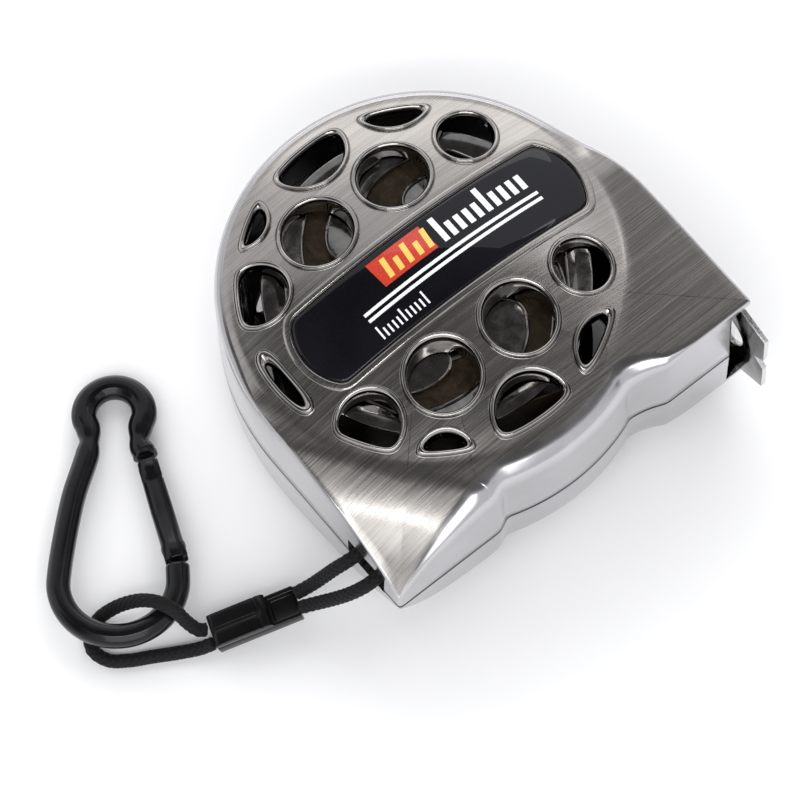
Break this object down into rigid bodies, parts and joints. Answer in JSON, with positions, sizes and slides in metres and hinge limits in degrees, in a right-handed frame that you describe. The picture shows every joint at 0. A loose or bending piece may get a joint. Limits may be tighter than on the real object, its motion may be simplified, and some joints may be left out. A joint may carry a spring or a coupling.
{
  "type": "tape measure",
  "caption": "Pocket tape measure: pierced domed D-shaped case, sprung reel, hooked steel blade, corded strap and snap hook.",
  "frame": {"origin": "on the reel axis, at the flat rest face of the rear cover that the case lies on", "axes": "+X from the heel to the mouth along the base, +Y from the base to the round top, +Z out of the front face"},
  "size_m": [0.1199, 0.0794, 0.0389],
  "materials": {
    "plated_case": "brushed black-nickel plate on moulded plastic, polished bead rims",
    "dark_plate": "dark polished plate",
    "badge": "high gloss domed resin",
    "steel": "satin",
    "blade_coat": "lacquered spring steel",
    "black_plastic": "semi-gloss",
    "black_paint": "gloss black anodised aluminium",
    "cord": "braided polyester"
  },
  "bodies": {
    "case": {"front_cover": "plated_case", "rear_cover": "plated_case", "front_badge": "badge", "case_screw_1": "steel", "case_screw_2": "steel", "case_screw_3": "steel", "case_screw_4": "steel", "centre_post": "black_plastic", "blade_lead": "blade_coat", "blade_guide": "black_plastic", "strap_pin": "steel"},
    "reel": {"reel_flange_front": "dark_plate", "reel_flange_rear": "dark_plate", "reel_hub": "black_plastic", "tape_coil": "blade_coat", "main_spring": "steel"},
    "blade": {"blade": "blade_coat", "hook_rivet_1": "steel", "hook_rivet_2": "steel"},
    "hook": {"end_hook": "steel"},
    "strap": {"strap_cord": "cord", "loop_cord": "cord", "clip_base": "black_plastic", "clip_lid": "black_plastic"},
    "snap_hook": {"snap_frame": "black_paint", "gate_pin": "black_paint"},
    "gate": {"snap_gate": "black_paint", "gate_plunger": "steel", "gate_spring": "steel"}
  },
  "joints": [
    {"name": "reel_spin", "type": "hinge", "parent": "case", "child": "reel", "pos_m": [0, 0, 0.0183], "axis": [0, 0, 1], "range_deg": [0, 63], "stiffness_Nm_per_rad": 0.01, "springref_deg": -28.65},
    {"name": "blade_slide", "type": "slide", "parent": "case", "child": "blade", "axis": [1, 0, 0], "range_m": [0, 0.028]},
    {"name": "hook_play", "type": "slide", "parent": "blade", "child": "hook", "axis": [1, 0, 0], "range_m": [-0.0002, 0.0005]},
    {"name": "strap_swing", "type": "hinge", "parent": "case", "child": "strap", "pos_m": [-0.0333, -0.029, 0.0183], "axis": [0, 0, 1], "range_deg": [-10, 10]},
    {"name": "snap_swing", "type": "hinge", "parent": "strap", "child": "snap_hook", "pos_m": [-0.0682, -0.0002, 0.0048], "axis": [0.0392, 0.0542, 0.9978], "range_deg": [-10, 20]},
    {"name": "gate_open", "type": "hinge", "parent": "snap_hook", "child": "gate", "pos_m": [-0.05156, 0.01274, 0.00345], "axis": [-0.0392, -0.0542, -0.9978], "range_deg": [0, 25], "stiffness_Nm_per_rad": 0.02, "springref_deg": -17.19}
  ],
  "couplings": [
    {"joint": "blade_slide", "follows": "reel_spin", "m_per_rad": 0.0253}
  ]
}
